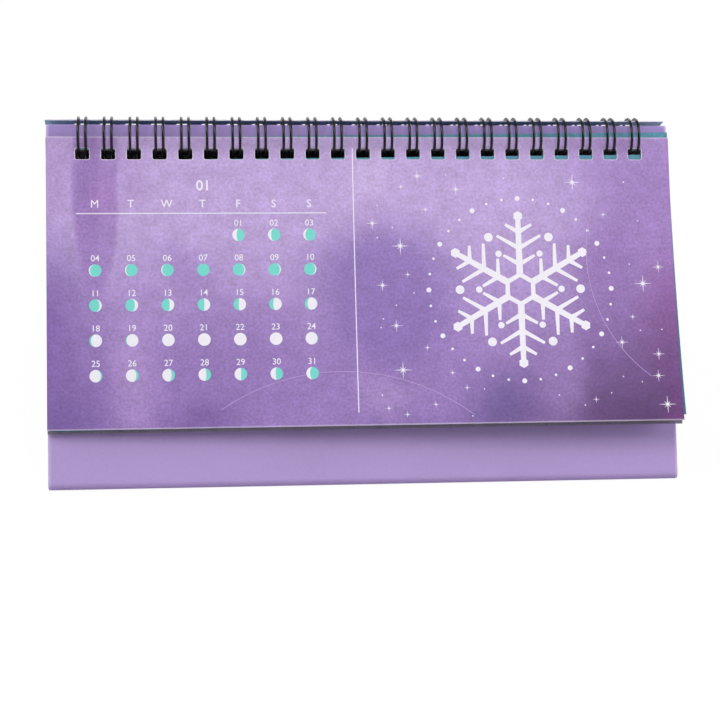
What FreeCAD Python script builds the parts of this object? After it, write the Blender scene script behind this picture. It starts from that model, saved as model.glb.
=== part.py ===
"""Desk calendar: a folding board stand, a twin-loop wire binding and its leaves.

Frame: +X along the width, the front faces -Y, +Z up. The origin is the middle of the
underside of the base. All sizes are in millimetres.

Cross-section. The stand is a triangle of wrapped boards. Its front and back meet in a
ridge, and both lean by the same angle. The wire's circular loops are centred on an axis
just below the ridge. Everything that hangs on the wire is placed in a plane's own
coordinates, measured from that axis:
    n  outwards, square to the plane
    u  up along the plane, 0 level with the axis
"""
import FreeCAD, Part
import math
import os
from FreeCAD import Vector

# ---- driving dimensions ------------------------------------------------------------
# stand: the outer faces of the wrapped boards
panel_length = 122.6        # front and back, from the ridge to the foot
base_depth = 124.0          # foot to foot
stand_width = 210.0
board_thickness = 1.8       # greyboard
wrap_thickness = 0.25       # printed paper pasted round the boards
lining_thickness = 0.25     # plain paper pasted inside
ridge_radius = 0.6          # of the wrap over the top fold
foot_radius = 2.0           # of the wrap round the two lower folds
edge_radius = 0.4           # of the wrap over the boards' side edges
fold_gap = 0.3              # between the mitred ends of two boards
turn_in_width = 15.0        # of the wrap over the boards' side edges
lining_inset = 3.0          # from the stand's sides to the lining's edges
fold_ease = 0.25            # by which a board's end is rounder than the wrap at a fold
rim_tolerance = 0.001       # for finding those edges
seam_gap = 0.4              # between the wrap's two ends, under the base
seam_offset = 15.0          # from the middle of the base back to that seam

# wire binding, 3 loops to the inch
loop_pitch = 25.4 / 3
loop_count = 23
ring_radius = 6.6           # of the wire's centre line
wire_diameter = 0.9
wire_spacing = 2.45         # between the two wires of a loop
bend_radius = 0.8           # where the wire turns at a loop's tip and at the spine
tip_angle = 93.0            # round the ring from the front's normal, down and inwards
spine_gap = 0.25            # between a tip and the spine that it closes on
ring_setback = 2.6          # from the ring's axis out to the stand's outer faces

# punched holes, the same in every leaf and board
hole_width = 4.7
hole_height = 3.8
hole_corner = 0.6
punch_reach = 1.0           # that a punch goes past a sheet's two faces
hole_margin = 3.85          # from a leaf's top edge to the top of its holes
hang_clearance = 0.1        # between the wire and the top of a hanging leaf's holes

# leaves
leaf_width = 210.0
leaf_height = 97.0
leaf_thickness = 0.22
block_thickness = 0.85
cover_thickness = 0.35
leaf_gap = 0.12             # between neighbours in the stack
block_bow = (0.9, 7.0)      # how far the lower edge stands out, at the left and right
second_bow = (1.2, 7.6)
front_bow = (1.6, 8.2)
second_slip = 0.85          # of the play in its holes, that the second leaf has slipped round
second_shift = -0.1         # that it has slipped along the wire
second_margin = 2.5         # the height of its margin that bends back
second_dips = (0.0, 0.2)    # how far the margin's top edge goes back, at the left and right
cover_ease = 0.05           # between the inside of the wire and the cover's outer face
cover_lean = 55.0           # degrees from upright that the turned cover leans at the wire
cover_flat = 8.0            # from its top edge to where it starts to curl down
curl_halvings = 40          # of the range in which the curl's angle is looked for
cover_rest_gap = 0.3        # between its lower edge and the stand's back
cover_shift = -0.5          # that it has slipped along the wire

# ---- what follows from them ----------------------------------------------------------
lean = math.asin(base_depth / 2 / panel_length)
ridge_height = panel_length * math.cos(lean)
axis_height = ridge_height - ring_setback / math.sin(lean)
wire_radius = wire_diameter / 2
board_depth = wrap_thickness + board_thickness
wall_thickness = board_depth + wrap_thickness + lining_thickness
half_width = stand_width / 2
FRONT = -1
BACK = 1


class Plane:
    """Coordinates of a leaf or panel that leans over the ring's axis."""

    def __init__(self, side, tilt):
        """side is FRONT or BACK, and tilt is the lean from upright in radians."""
        self.outward = Vector(0, side * math.cos(tilt), math.sin(tilt))
        self.upward = Vector(0, -side * math.sin(tilt), math.cos(tilt))
        self.axis_point = Vector(0, 0, axis_height)

    def point(self, x, n, u):
        """The point at x along the width, n outwards and u up the plane."""
        return self.axis_point + Vector(x, 0, 0) + self.outward * n + self.upward * u


front_plane = Plane(FRONT, lean)
back_plane = Plane(BACK, lean)


# ---- small helpers -------------------------------------------------------------------
def prism(points, vector):
    """The solid swept by a closed polygon along a vector."""
    return Part.Face(Part.makePolygon(points + points[:1])).extrude(vector)


def loops_x():
    """The middle of each double loop along the width."""
    first = -(loop_count - 1) / 2 * loop_pitch
    return [first + i * loop_pitch for i in range(loop_count)]


def wire_top(n):
    """The height in a plane n from the axis at which a hole's top clears the wire."""
    return -math.sqrt((ring_radius - wire_radius) ** 2 - n ** 2) + hang_clearance


def hole_outline(plane, x, n, top):
    """A punched hole's outline, a rectangle with round corners, in a leaf's plane."""
    half, low, r = hole_width / 2, top - hole_height, hole_corner
    slant = r * (1 - math.sqrt(0.5))
    edges = []
    corners = [(half, top, -1, -1), (-half, top, 1, -1), (-half, low, 1, 1), (half, low, -1, 1)]
    for i, (cx, cu, sx, su) in enumerate(corners):
        across = plane.point(x + cx + sx * r, n, cu)
        along = plane.point(x + cx, n, cu + su * r)
        middle = plane.point(x + cx + sx * slant, n, cu + su * slant)
        start, end = (along, across) if i % 2 == 0 else (across, along)
        edges.append((start, Part.Arc(start, middle, end).toShape(), end))
    outline = []
    for i, (start, arc, end) in enumerate(edges):
        outline += [arc, Part.LineSegment(end, edges[(i + 1) % 4][0]).toShape()]
    return Part.Wire(outline)


def hole_row(plane, n_low, n_high, top_low, top_high, shift=0.0, turn=0.0):
    """Punches for one leaf or panel, from n_low with its hole tops at top_low."""
    punches = []
    for x in loops_x():
        drop = (x + shift) * math.tan(turn)
        outline = hole_outline(plane, x + shift, n_low, top_low + drop)
        reach = plane.outward * (n_high - n_low) + plane.upward * (top_high - top_low)
        punches.append(Part.Face(outline).extrude(reach))
    return Part.makeCompound(punches)


# ---- stand -----------------------------------------------------------------------------
def section_wire(inset, x, ridge, foot):
    """The stand's triangle moved in by inset, in the plane at x.

    Its corners are rounded to ridge and foot, or all are sharp where either is nothing.
    """
    top = ridge_height - inset / math.sin(lean)
    low = inset
    corner = math.pi / 2 - lean
    half = (ridge_height - low) * math.tan(lean) - inset / math.cos(lean)
    outline = Part.makePolygon([
        Vector(x, -half, low), Vector(x, half, low), Vector(x, 0, top), Vector(x, -half, low)])
    if min(ridge, foot) <= 0:
        return outline
    arcs = []
    for y, z, radius, out_a, out_b in (
            (-half, low, foot, -math.pi / 2, math.pi - lean),
            (0, top, ridge, math.pi - lean, lean),
            (half, low, foot, lean, -math.pi / 2)):
        reach = radius / (math.sin(lean) if z > low else math.sin(corner / 2))
        inward = -math.pi / 2 if z > low else (corner / 2 if y < 0 else math.pi - corner / 2)
        cy = y + reach * math.cos(inward)
        cz = z + reach * math.sin(inward)
        middle = inward + math.pi
        ends = [Vector(x, cy + radius * math.cos(a), cz + radius * math.sin(a))
                for a in (out_a, middle, out_b)]
        arcs.append(ends)
    edges = []
    for i, ends in enumerate(arcs):
        edges.append(Part.Arc(*ends).toShape())
        edges.append(Part.LineSegment(ends[2], arcs[(i + 1) % 3][0]).toShape())
    return Part.Wire(edges)


def sleeve(outer_inset, inner_inset, x_low, x_high, ridge=0.0, foot=0.0):
    """A sheet that runs round the stand between two insets, from x_low to x_high."""
    length = Vector(x_high - x_low, 0, 0)
    step = inner_inset - outer_inset
    outer = Part.Face(section_wire(outer_inset, x_low, ridge, foot)).extrude(length)
    inner = Part.Face(section_wire(inner_inset, x_low, ridge - step, foot - step)).extrude(length)
    return outer.cut(inner)


def inside_wrap(solid, length):
    """A board with its ends rounded off to lie inside the wrap's folds."""
    ease = fold_ease - wrap_thickness
    outline = section_wire(wrap_thickness, -length, ridge_radius + ease, foot_radius + ease)
    return solid.common(Part.Face(outline).extrude(Vector(2 * length, 0, 0)))


def panel_punches(plane):
    """Punches for a whole wall of the stand: wrap, board and lining together."""
    middle_n = ring_setback - wall_thickness / 2
    middle_u = -math.sqrt(ring_radius ** 2 - middle_n ** 2)
    top = middle_u + hole_height / 2
    return hole_row(plane, ring_setback - wall_thickness - punch_reach,
                    ring_setback + punch_reach, top, top)


def board(plane):
    """A leaning greyboard, mitred where it meets its neighbours at the two folds."""
    outer, inner = ring_setback - wrap_thickness, ring_setback - board_depth
    length = half_width - wrap_thickness
    mitre = fold_gap / 2
    ridge_u = [(n - mitre / math.cos(lean)) / math.tan(lean) - mitre for n in (inner, outer)]
    corner = (math.pi / 2 - lean) / 2
    foot_u = -(panel_length - ring_setback / math.tan(lean))
    low_u = [foot_u + (ring_setback - n) / math.tan(corner) + mitre / math.sin(corner)
             for n in (inner, outer)]
    profile = [(inner, ridge_u[0]), (outer, ridge_u[1]), (outer, low_u[1]), (inner, low_u[0])]
    solid = prism([plane.point(-length, n, u) for n, u in profile], Vector(2 * length, 0, 0))
    return inside_wrap(solid, length).cut(panel_punches(plane))


def base_board(side):
    """Half of the base: a greyboard from a foot to the crease in the middle."""
    length = half_width - wrap_thickness
    corner = (math.pi / 2 - lean) / 2
    foot = base_depth / 2
    mitre = fold_gap / 2
    ends = [foot - z / math.tan(corner) - mitre / math.sin(corner)
            for z in (wrap_thickness, board_depth)]
    points = [(fold_gap / 2, wrap_thickness), (ends[0], wrap_thickness),
              (ends[1], board_depth), (fold_gap / 2, board_depth)]
    outline = [Vector(-length, side * y, z) for y, z in points]
    return inside_wrap(prism(outline, Vector(2 * length, 0, 0)), length)


def outer_rims(sheet):
    """The edges of a sleeve's outer face at the stand's two sides."""
    outline = section_wire(0.0, 0.0, ridge_radius, foot_radius)
    rims = []
    for edge in sheet.Edges:
        middle = edge.valueAt((edge.FirstParameter + edge.LastParameter) / 2)
        inwards = outline.distToShape(Part.Vertex(0, middle.y, middle.z))[0]
        if max(inwards, half_width - abs(middle.x)) < rim_tolerance:
            rims.append(edge)
    return rims


def cover_wrap():
    """The printed sheet: round the stand, over its side edges and turned in."""
    edge = half_width - wrap_thickness
    inner = board_depth + wrap_thickness
    sheet = sleeve(0.0, wrap_thickness, -half_width, half_width, ridge_radius, foot_radius)
    hems = []
    for side in (-1, 1):
        low, high = sorted((side * edge, side * half_width))
        hems.append(sleeve(wrap_thickness, inner, low, high,
                           ridge_radius - wrap_thickness, foot_radius - wrap_thickness))
        low, high = sorted((side * (half_width - turn_in_width), side * edge))
        hems.append(sleeve(board_depth, inner, low, high))
    sheet = sheet.multiFuse(hems).removeSplitter()
    sheet = sheet.makeFillet(edge_radius, outer_rims(sheet))
    seam = Part.makeBox(stand_width, seam_gap, inner, Vector(-half_width, seam_offset, 0))
    return sheet.cut(seam).cut(panel_punches(front_plane)).cut(panel_punches(back_plane))


def lining_sheet():
    """The plain sheet inside, which laps over the wrap's turned-in edges."""
    inner = board_depth + wrap_thickness
    between = half_width - turn_in_width
    reach = half_width - lining_inset
    sheet = sleeve(board_depth, wall_thickness, -between, between)
    laps = [sleeve(inner, wall_thickness, *sorted((side * between, side * reach)))
            for side in (-1, 1)]
    sheet = sheet.multiFuse(laps)
    return sheet.cut(panel_punches(front_plane)).cut(panel_punches(back_plane))


# ---- wire ---------------------------------------------------------------------------------
def ring_point(x, angle, radius=ring_radius):
    """A point on the ring, angle from the front's normal, down and inwards."""
    return front_plane.point(x, radius * math.cos(angle), -radius * math.sin(angle))


def ring_tangent(angle):
    """The ring's direction at angle, the way that the angle grows."""
    return front_plane.outward * -math.sin(angle) - front_plane.upward * math.cos(angle)


def swept_disc(centre, normal, axis_point, axis, degrees):
    """The wire's round section turned about an axis."""
    disc = Part.Face(Part.Wire(Part.Circle(centre, normal, wire_radius).toShape()))
    return disc.revolve(axis_point, axis, degrees)


def wire_turn(x, angle, way, sideways):
    """The bend that takes a wire from the ring's direction to sideways along X."""
    heading = ring_tangent(angle) * way
    side = Vector(sideways, 0, 0)
    start = ring_point(x, angle)
    return swept_disc(start, heading, start + side * bend_radius, heading.cross(side), 90)


def wire_bar(x_from, x_to, angle, way):
    """The straight wire between two bends, which lie bend_radius beyond angle."""
    start = ring_point(x_from, angle) + ring_tangent(angle) * way * bend_radius
    return Part.makeCylinder(wire_radius, x_to - x_from, start, Vector(1, 0, 0))


def wire_binding():
    """One wire: each loop goes round the ring and back, and links join the loops."""
    to_bar = bend_radius / ring_radius
    tip_end = math.radians(tip_angle) - to_bar
    spine_start = math.radians(tip_angle) + (wire_diameter + spine_gap) / ring_radius + to_bar
    turn = math.degrees(2 * math.pi - (spine_start - tip_end))
    axis = front_plane.outward.cross(ring_tangent(0.0))
    half = wire_spacing / 2
    pieces = []
    middles = loops_x()
    for i, middle in enumerate(middles):
        for side in (-1, 1):
            x = middle + side * half
            centre = front_plane.axis_point + Vector(x, 0, 0)
            pieces.append(swept_disc(
                ring_point(x, spine_start), ring_tangent(spine_start), centre, axis, turn))
            pieces.append(wire_turn(x, tip_end, 1, -side))
            outermost = (i == 0 and side < 0) or (i == loop_count - 1 and side > 0)
            if not outermost:
                pieces.append(wire_turn(x, spine_start, -1, side))
        pieces.append(wire_bar(middle - half + bend_radius, middle + half - bend_radius, tip_end, 1))
        if i + 1 < loop_count:
            pieces.append(wire_bar(middle + half + bend_radius,
                                   middles[i + 1] - half - bend_radius, spine_start, -1))
    return pieces[0].multiFuse(pieces[1:])


# ---- leaves ---------------------------------------------------------------------------------
def leaf_point(side, down, n, top, shift, turn):
    """A point on a leaf's left or right edge, down from its top corner."""
    across = side * leaf_width / 2
    x = across * math.cos(turn) + down * math.sin(turn) + shift
    u = top - down * math.cos(turn) + across * math.sin(turn)
    return front_plane.point(x, n, u)


def bowed_leaf(n_inner, thickness, tops, bow, shift=0.0, turn=0.0, margin=0.0, dips=(0.0, 0.0)):
    """A leaf or block on the front. Its lower edge stands out by bow, left and right.

    tops are the heights of its top edge at the inner and outer faces. A margin along the
    top edge may bend back, by dips at its left and right ends.
    """
    ends = []
    for side, out, dip in zip((-1, 1), bow, dips):
        faces = []
        for n, top in ((n_inner, tops[0]), (n_inner + thickness, tops[1])):
            bowed = leaf_height - margin
            arc = [leaf_point(side, margin + share * bowed, n + out * share ** 2, top, shift, turn)
                   for share in (0.0, 0.5, 1.0)]
            edge = leaf_point(side, 0.0, n - dip, top, shift, turn)
            faces.append((edge, arc))
        (inner_edge, inner), (outer_edge, outer) = faces
        outline = [Part.Arc(*inner).toShape(), Part.LineSegment(inner[2], outer[2]).toShape(),
                   Part.Arc(*outer[::-1]).toShape()]
        if margin:
            outline += [Part.LineSegment(outer[0], outer_edge).toShape(),
                        Part.LineSegment(outer_edge, inner_edge).toShape(),
                        Part.LineSegment(inner_edge, inner[0]).toShape()]
        else:
            outline.append(Part.LineSegment(outer[0], inner[0]).toShape())
        ends.append(Part.Wire(outline))
    return Part.makeLoft(ends, True, True)


def stack_position(index):
    """The inner face's n and the thickness of the block, second leaf and front leaf."""
    thicknesses = [block_thickness, leaf_thickness, leaf_thickness]
    return ring_setback + leaf_gap + sum(thicknesses[:index]) + index * leaf_gap, thicknesses[index]


def leaf_block():
    """The leaves still to come, as one block whose edges step down towards the stand."""
    n, thickness = stack_position(0)
    holes = [wire_top(n), wire_top(n + thickness)]
    block = bowed_leaf(n, thickness, [h + hole_margin for h in holes], block_bow)
    step = (holes[1] - holes[0]) / thickness * punch_reach
    return block.cut(hole_row(
        front_plane, n - punch_reach, n + thickness + punch_reach,
        holes[0] - step, holes[1] + step))


def slip_angle(n, thickness):
    """The turn that takes up second_slip of the play in a leaf's holes on the wire."""
    wire_low = -math.sqrt((ring_radius + wire_radius) ** 2 - n ** 2)
    play = hole_height + wire_low - wire_top(n + thickness)
    return math.atan(second_slip * play / ((loop_count - 1) * loop_pitch))


def second_leaf():
    """The leaf behind the front one, slipped round a little on the wire.

    Its raised margin bends back over the block's top edge, clear of the front leaf's swing.
    """
    n, thickness = stack_position(1)
    turn = slip_angle(n, thickness)
    last_hole = (loop_count - 1) / 2 * loop_pitch
    hole_top = wire_top(n + thickness) + last_hole * math.tan(turn)
    leaf = bowed_leaf(n, thickness, [hole_top + hole_margin] * 2, second_bow, second_shift, turn,
                      second_margin, second_dips)
    return leaf.cut(hole_row(
        front_plane, n - punch_reach, n + thickness + punch_reach,
        hole_top, hole_top, second_shift, turn))


def front_leaf():
    """The leaf on show."""
    n, thickness = stack_position(2)
    hole_top = wire_top(n + thickness)
    leaf = bowed_leaf(n, thickness, [hole_top + hole_margin] * 2, front_bow)
    return leaf.cut(hole_row(
        front_plane, n - punch_reach, n + thickness + punch_reach, hole_top, hole_top))


def curl_turn(start_n, slant, length):
    """The angle that the cover turns through as it curls down onto the stand's back.

    It starts start_n out from the ring's axis, slanting away from the back by slant.
    """
    landing = ring_setback + cover_rest_gap - start_n
    low, high = slant, slant + math.pi / 2
    for _ in range(curl_halvings):
        turn = (low + high) / 2
        if length * (math.cos(slant - turn) - math.cos(slant)) / turn > landing:
            low = turn
        else:
            high = turn
    return turn


def turned_cover():
    """The cover, turned over the top: it hangs behind and its lower edge meets the stand."""
    inside = ring_radius - wire_radius
    outer = math.sqrt(inside ** 2 - ((hole_margin + hang_clearance) / 2) ** 2) - cover_ease
    inner = outer - cover_thickness
    tilt = math.radians(cover_lean)
    plane = Plane(BACK, tilt)
    hole_top = wire_top(outer)
    top = hole_top + hole_margin
    bend = top - cover_flat
    start_n = (plane.point(0, inner, bend) - plane.axis_point).dot(back_plane.outward)
    length = leaf_height - cover_flat
    turn = curl_turn(start_n, tilt - lean, length)
    low = cover_shift - leaf_width / 2
    faces = []
    for n in (inner, outer):
        radius = length / turn + n - inner
        arc = [plane.point(low, n - radius * (1 - math.cos(share * turn)),
                           bend - radius * math.sin(share * turn)) for share in (0.0, 0.5, 1.0)]
        faces.append((plane.point(low, n, top), arc))
    (inner_top, inner_arc), (outer_top, outer_arc) = faces
    outline = [Part.LineSegment(inner_top, inner_arc[0]), Part.Arc(*inner_arc),
               Part.LineSegment(inner_arc[2], outer_arc[2]), Part.Arc(*outer_arc[::-1]),
               Part.LineSegment(outer_arc[0], outer_top), Part.LineSegment(outer_top, inner_top)]
    profile = Part.Face(Part.Wire([piece.toShape() for piece in outline]))
    punches = hole_row(
        plane, inner - punch_reach, outer + punch_reach, hole_top, hole_top, cover_shift)
    return profile.extrude(Vector(leaf_width, 0, 0)).cut(punches)


# ---- build ------------------------------------------------------------------------------------
def build():
    """Every piece of the calendar by name."""
    return {
        "front_board": board(front_plane),
        "back_board": board(back_plane),
        "base_board_front": base_board(FRONT),
        "base_board_rear": base_board(BACK),
        "cover_wrap": cover_wrap(),
        "lining_sheet": lining_sheet(),
        "wire_binding": wire_binding(),
        "leaf_block": leaf_block(),
        "second_leaf": second_leaf(),
        "front_leaf": front_leaf(),
        "turned_cover": turned_cover(),
    }


def main():
    """Write one STEP file for each piece."""
    os.makedirs("parts", exist_ok=True)
    for name, shape in build().items():
        solids = shape.Solids
        shape = solids[0] if len(solids) == 1 else Part.makeCompound(solids)
        shape.exportStep(os.path.join("parts", name + ".step"))
        print(name, "solids", len(solids), "valid", shape.isValid(), "volume", round(shape.Volume, 1))


main()
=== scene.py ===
"""Looks of a flip-over desk calendar: a lilac board stand, a black twin-loop wire and its leaves.

The stand and the wire are the construction model's own pieces with better finishes. The
leaves and the turned cover are sheets built here, on the outlines of the pieces that they
stand for. What is printed on the front leaf is thin ink shapes that follow its curve.

Sizes are in millimetres, and a sheet's own coordinates are
    across  from its left edge
    down    from its top edge
    lift    out of its face
"""
import logging
import math
import random
from dataclasses import dataclass, field, replace
from enum import Enum
from typing import ClassVar

import bmesh
import bpy
from mathutils import Matrix, Vector
from mathutils.geometry import delaunay_2d_cdt


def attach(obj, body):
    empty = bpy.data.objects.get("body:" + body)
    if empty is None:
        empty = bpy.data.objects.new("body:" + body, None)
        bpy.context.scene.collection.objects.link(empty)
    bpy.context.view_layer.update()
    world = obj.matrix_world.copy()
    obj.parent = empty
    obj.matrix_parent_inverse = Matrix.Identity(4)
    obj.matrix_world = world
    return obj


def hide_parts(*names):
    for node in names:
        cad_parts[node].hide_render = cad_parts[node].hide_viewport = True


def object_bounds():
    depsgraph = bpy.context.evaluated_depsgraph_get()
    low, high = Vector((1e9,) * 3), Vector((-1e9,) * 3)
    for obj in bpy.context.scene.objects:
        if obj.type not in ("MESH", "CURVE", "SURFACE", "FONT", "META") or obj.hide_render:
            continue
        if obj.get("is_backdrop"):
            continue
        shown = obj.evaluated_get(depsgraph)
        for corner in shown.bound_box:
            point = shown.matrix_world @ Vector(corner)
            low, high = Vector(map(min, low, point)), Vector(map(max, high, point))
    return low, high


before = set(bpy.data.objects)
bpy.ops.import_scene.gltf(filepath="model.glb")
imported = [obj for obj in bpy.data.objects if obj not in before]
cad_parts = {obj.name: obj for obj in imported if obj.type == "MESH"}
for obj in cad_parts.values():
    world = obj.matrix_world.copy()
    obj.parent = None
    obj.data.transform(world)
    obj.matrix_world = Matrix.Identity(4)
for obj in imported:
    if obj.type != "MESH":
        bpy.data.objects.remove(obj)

LOG = logging.getLogger("desk_calendar")
MM = 0.001
SHEET_MAP = "sheet_mm"
MERGE_DISTANCE = 1e-5
TRIANGLES_INSIDE = 1
Point = tuple[float, float]


# ---- small helpers -------------------------------------------------------------------


def linear(code: str) -> tuple[float, float, float, float]:
    """Turns an sRGB hex colour to linear light.

    Args:
        code: The colour as "#RRGGBB".

    Returns:
        Red, green, blue and an alpha of 1.
    """
    channels = []
    for start in (1, 3, 5):
        value = int(code[start:start + 2], 16) / 255
        channels.append(value / 12.92 if value <= 0.04045 else ((value + 0.055) / 1.055) ** 2.4)
    return (*channels, 1.0)


def add(tree: bpy.types.NodeTree, kind: str, inputs: dict[str | int, object] | None = None,
        **settings: object) -> bpy.types.Node:
    """Adds one node to a material.

    Args:
        tree: The material's node tree.
        kind: The node's type name without its "ShaderNode" prefix.
        inputs: What each input gets, by name or index: a value, or an output to link.
        **settings: The node's own settings.

    Returns:
        The new node.
    """
    node = tree.nodes.new("ShaderNode" + kind)
    for name, value in settings.items():
        setattr(node, name, value)
    for name, value in (inputs or {}).items():
        if isinstance(value, bpy.types.NodeSocket):
            tree.links.new(value, node.inputs[name])
        else:
            node.inputs[name].default_value = value
    return node


def new_material(name: str) -> tuple[bpy.types.Material, bpy.types.NodeTree, bpy.types.Node]:
    """Makes a material that has only its shader.

    Args:
        name: The material's name.

    Returns:
        The material, its node tree and its Principled shader.
    """
    material = bpy.data.materials.new(name)
    material.use_nodes = True
    tree = material.node_tree
    tree.nodes.clear()
    shader = add(tree, "BsdfPrincipled")
    add(tree, "OutputMaterial", {"Surface": shader.outputs[0]})
    return material, tree, shader


def dress(node: str, material: bpy.types.Material) -> None:
    """Puts one finish on a whole construction piece.

    Args:
        node: The piece's name.
        material: The finish.
    """
    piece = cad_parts[node]
    piece.data.materials.clear()
    piece.data.materials.append(material)
    LOG.info("%s keeps its own shape in %s", node, material.name)


# ---- finishes ------------------------------------------------------------------------
MIX_FACTOR, MIX_A, MIX_B, MIX_OUT = 0, 6, 7, 2
# Between which values most of a noise lies, for a pattern and for one that is cut off.
NOISE_LOW, NOISE_HIGH = 0.25, 0.75
NARROW_LOW, NARROW_HIGH = 0.3, 0.7


class Places(Enum):
    """Which coordinates a pattern follows, both in millimetres."""

    SHEET = "across and down a sheet"
    OBJECT = "along the construction piece's own axes"


def millimetres(tree: bpy.types.NodeTree, places: Places) -> bpy.types.NodeSocket:
    """Finds a surface point's coordinates in millimetres.

    Args:
        tree: The material's node tree.
        places: Which coordinates to give.

    Returns:
        The output that holds them.
    """
    if places is Places.SHEET:
        return add(tree, "UVMap", uv_map=SHEET_MAP).outputs[0]
    here = add(tree, "TexCoord").outputs["Object"]
    return add(tree, "VectorMath", {0: here, "Scale": 1 / MM}, operation="SCALE").outputs[0]


def vary(tree: bpy.types.NodeTree, colour: bpy.types.NodeSocket, pattern: bpy.types.NodeSocket,
         amount: float) -> bpy.types.NodeSocket:
    """Makes a colour lighter and darker with a pattern.

    Args:
        tree: The material's node tree.
        colour: The colour.
        pattern: The pattern, about 0.5 in the middle.
        amount: The change in brightness at the pattern's ends, as a share.

    Returns:
        The varied colour.
    """
    value = add(tree, "MapRange", {
        0: pattern, 1: NOISE_LOW, 2: NOISE_HIGH, 3: 1 - amount, 4: 1 + amount})
    return add(tree, "VectorMath", {0: colour, "Scale": value.outputs[0]}, operation="SCALE").outputs[0]


@dataclass(frozen=True)
class PlainStock:
    """A paper, board or ink of one colour, with the slight unevenness of its making."""

    name: str
    colour: str
    roughness: float
    spot_size: float
    unevenness: float
    relief: float
    specular: float = 0.4

    def build(self) -> bpy.types.Material:
        """Makes the material.

        Returns:
            The material.
        """
        material, tree, shader = new_material(self.name)
        place = millimetres(tree, Places.OBJECT)
        base = add(tree, "RGB")
        base.outputs[0].default_value = linear(self.colour)
        spots = add(tree, "TexNoise", {"Vector": place, "Scale": 1 / self.spot_size, "Detail": 3.0})
        varied = vary(tree, base.outputs[0], spots.outputs["Fac"], self.unevenness)
        relief = add(tree, "Bump", {"Distance": self.relief * MM, "Height": spots.outputs["Fac"]})
        tree.links.new(varied, shader.inputs["Base Color"])
        tree.links.new(relief.outputs[0], shader.inputs["Normal"])
        shader.inputs["Roughness"].default_value = self.roughness
        shader.inputs["Specular IOR Level"].default_value = self.specular
        return material


# Grey pulp board, pressed and guillotined: flecks of fibre, quite matt.
GREYBOARD = PlainStock("greyboard_pressed", "#8D8577", 0.9, 1.6, 0.12, 0.03)
# Uncoated paper pasted inside the stand, coloured near black as painted shade for the stand's unlit
# inside, with soft clouds in it.
SHADED_LINING = PlainStock("lining_painted_shade", "#2B2733", 0.85, 2.5, 0.1, 0.01)
# The cut edge of coated paper: the white core shows, a little furred by the punch.
CUT_PAPER = PlainStock("coated_paper_cut_edge", "#E6DFEA", 0.8, 0.5, 0.1, 0.02)
# The guillotined side of a heap of printed leaves: colour from both faces over a white core.
HEAP_EDGE = PlainStock("leaf_edges_guillotined", "#A8A4B8", 0.75, 0.4, 0.2, 0.02)
# Opaque white offset ink: even and a little glossier than the paper.
WHITE_INK = PlainStock("offset_ink_white", "#F0ECF4", 0.5, 1.2, 0.03, 0.003)
# Thin white ink in hairlines, so the purple under it shows through.
HAIRLINE_INK = PlainStock("offset_ink_hairline", "#B79CD0", 0.5, 1.2, 0.03, 0.003)
# Mint offset ink on the dark part of each moon.
MINT_INK = PlainStock("offset_ink_mint", "#74D8CC", 0.5, 1.2, 0.03, 0.003)


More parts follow.
